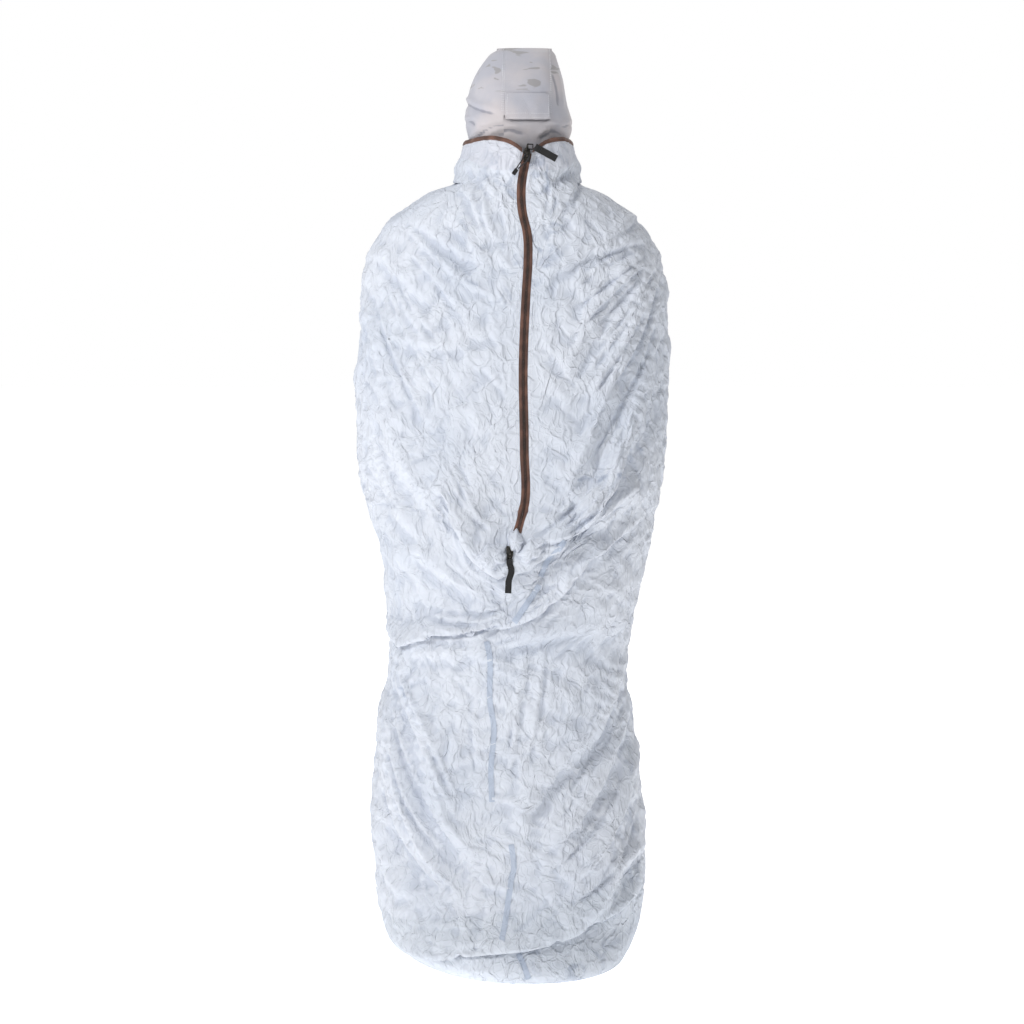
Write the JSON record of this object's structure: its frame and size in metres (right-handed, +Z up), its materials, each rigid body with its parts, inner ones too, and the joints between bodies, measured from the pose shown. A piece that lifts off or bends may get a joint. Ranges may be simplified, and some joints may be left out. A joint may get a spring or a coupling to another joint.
{
  "type": "ghillie suit",
  "caption": "Hooded full-length snow camouflage over-suit: a closed-foot cloth bag with collar, long two-way front zip with pulls, taped seams and a hood with lifting brim.",
  "frame": {"origin": "centre of the overall box, on the floor under the closed foot", "axes": "+Z up along the standing wearer, front (zip) faces -Y, wearer's left is +X"},
  "size_m": [0.6358, 0.5263, 1.8],
  "materials": {
    "suit_cloth": "thin crumpled coated nylon, off-white with faint blue-grey camouflage mottling",
    "collar_cloth": "same thin nylon, doubled at the collar",
    "foot_cloth": "coated nylon floor of the bag, slightly darker",
    "hood_cloth": "soft brushed woven nylon, warm light grey with printed snow camouflage",
    "seam_tape": "heat-bonded seam tape showing blue-grey through the cloth",
    "zip_tape": "brown woven polyester zip tape",
    "zip_coil": "dark brown nylon coil",
    "zip_metal": "painted grey die-cast slider metal",
    "pull_wire": "black enamelled wire",
    "webbing": "black ribbed nylon webbing",
    "pull_cord": "black braided cord",
    "pull_mould": "black moulded thermoplastic rubber"
  },
  "bodies": {
    "suit": {"collar_back": "collar_cloth", "collar_left": "collar_cloth", "collar_right": "collar_cloth", "collar_tape_left": "zip_tape", "collar_tape_right": "zip_tape", "foot_back": "suit_cloth", "foot_base": "foot_cloth", "foot_front": "suit_cloth", "seam_tape_hem": "seam_tape", "seam_tape_skirt": "seam_tape", "seam_tape_waist": "seam_tape", "skirt_back": "suit_cloth", "skirt_front_left": "suit_cloth", "skirt_front_right": "suit_cloth", "upper_back": "suit_cloth", "upper_front_left": "suit_cloth", "upper_front_right": "suit_cloth", "waist_back": "suit_cloth", "waist_front": "suit_cloth", "waist_gather": "suit_cloth", "zip_bottom_stop": "zip_metal", "zip_coil_left": "zip_coil", "zip_coil_right": "zip_coil", "zip_tape_left": "zip_tape", "zip_tape_right": "zip_tape"},
    "hood": {"hood_skirt": "hood_cloth", "face_veil": "hood_cloth", "hood_crown": "hood_cloth", "hood_side_left": "hood_cloth", "hood_side_right": "hood_cloth"},
    "brim": {"hood_brim": "hood_cloth"},
    "upper_slider": {"upper_slider": "zip_metal"},
    "upper_pull": {"upper_pull_cord": "pull_cord", "upper_pull_end": "pull_mould"},
    "side_pull": {"side_pull_bail": "pull_wire", "side_pull_tab": "webbing"},
    "lower_slider": {"lower_slider": "zip_metal"},
    "lower_pull": {"lower_pull_bail": "pull_wire", "lower_pull_tab": "webbing"}
  },
  "joints": [
    {"name": "hood_tilt", "type": "hinge", "parent": "suit", "child": "hood", "pos_m": [0.013, 0, 1.6], "axis": [1, 0, 0], "range_deg": [-10, 12]},
    {"name": "brim_lift", "type": "hinge", "parent": "hood", "child": "brim", "pos_m": [0.0285, -0.1135, 1.712], "axis": [-1, 0, 0], "range_deg": [0, 70]},
    {"name": "upper_slider_run", "type": "slide", "parent": "suit", "child": "upper_slider", "axis": [-0.0431, -0.1239, -0.9914], "range_m": [0, 0.68]},
    {"name": "upper_pull_swing", "type": "hinge", "parent": "upper_slider", "child": "upper_pull", "pos_m": [0.028, -0.16076, 1.59259], "axis": [-0.9991, 0.0053, 0.0428], "range_deg": [0, 110]},
    {"name": "side_pull_swing", "type": "hinge", "parent": "upper_slider", "child": "side_pull", "pos_m": [0.02863, -0.15956, 1.60704], "axis": [-0.0431, -0.1239, -0.9914], "range_deg": [0, 140]},
    {"name": "lower_slider_run", "type": "slide", "parent": "suit", "child": "lower_slider", "axis": [0.0431, 0.1239, 0.9914], "range_m": [0, 0.62]},
    {"name": "lower_pull_swing", "type": "hinge", "parent": "lower_slider", "child": "lower_pull", "pos_m": [-0.004, -0.25276, 0.85659], "axis": [-0.9991, 0.0053, 0.0428], "range_deg": [0, 150]}
  ]
}
